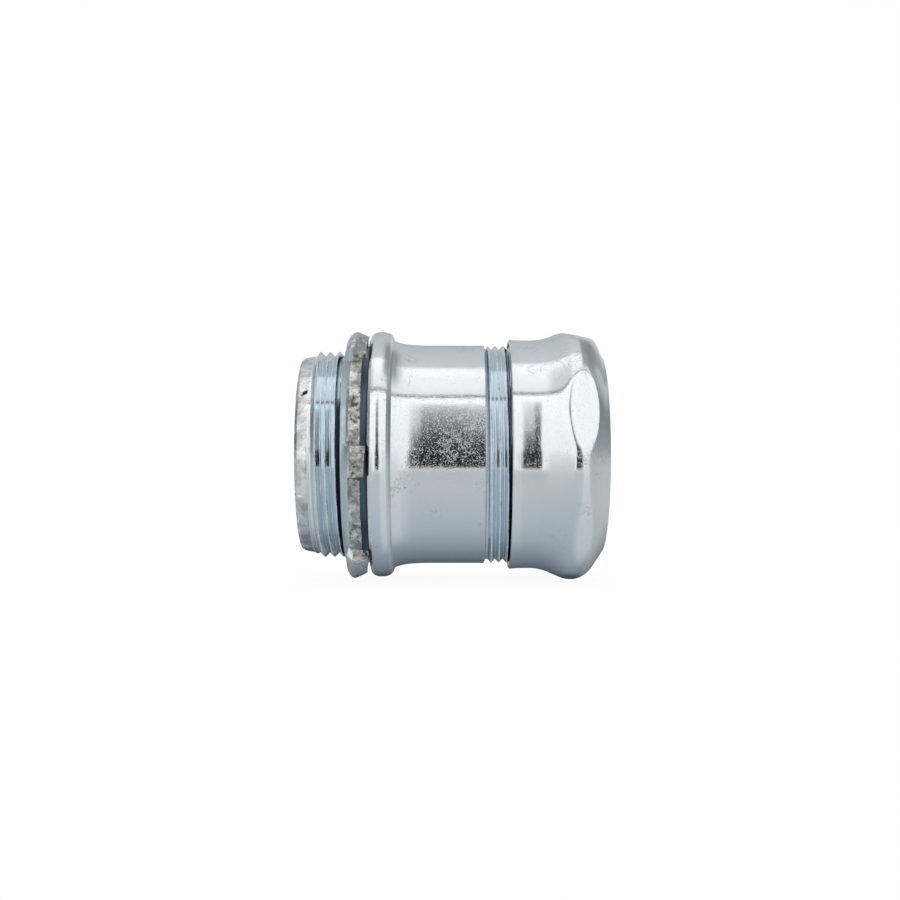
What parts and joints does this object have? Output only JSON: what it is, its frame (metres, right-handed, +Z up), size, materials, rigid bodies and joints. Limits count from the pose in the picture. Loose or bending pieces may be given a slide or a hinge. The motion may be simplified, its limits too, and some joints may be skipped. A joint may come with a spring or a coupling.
{
  "type": "conduit compression connector",
  "caption": "Compression connector that joins thin-wall steel conduit to a box: threaded end with lugged locknut, shoulder, and gland nut that squeezes a split ring onto the conduit.",
  "frame": {"origin": "centre of the bounding box: on the common axis, half way along the length", "axes": "+X along the common axis towards the gland nut, +Z up with the fitting lying on its side"},
  "size_m": [0.0698, 0.0606, 0.0584],
  "materials": {
    "body_plating": "semi-bright zinc plating with a blue chromate tint over drawn steel",
    "locknut_plating": "zinc plating over a rough stamped and sheared steel edge",
    "nut_plating": "semi-bright zinc plating with a faint blue tint",
    "ring_steel": "dull zinc-plated spring steel"
  },
  "bodies": {
    "body": {"connector_body": "body_plating"},
    "locknut": {"locknut": "locknut_plating"},
    "gland_ring": {"compression_ring": "ring_steel"},
    "gland_nut": {"compression_nut": "nut_plating"}
  },
  "joints": [
    {"name": "locknut_travel", "type": "slide", "parent": "body", "child": "locknut", "axis": [1, 0, 0], "range_m": [-0.0095, 0.0008]},
    {"name": "ring_travel", "type": "slide", "parent": "body", "child": "gland_ring", "axis": [1, 0, 0], "range_m": [-0.00349, 0.00364]},
    {"name": "gland_nut_turn", "type": "hinge", "parent": "gland_ring", "child": "gland_nut", "pos_m": [0.025, 0, 0], "axis": [1, 0, 0], "range_deg": [-690, 720]}
  ],
  "couplings": [
    {"joint": "ring_travel", "follows": "gland_nut_turn", "m_per_rad": 0.00028875}
  ]
}
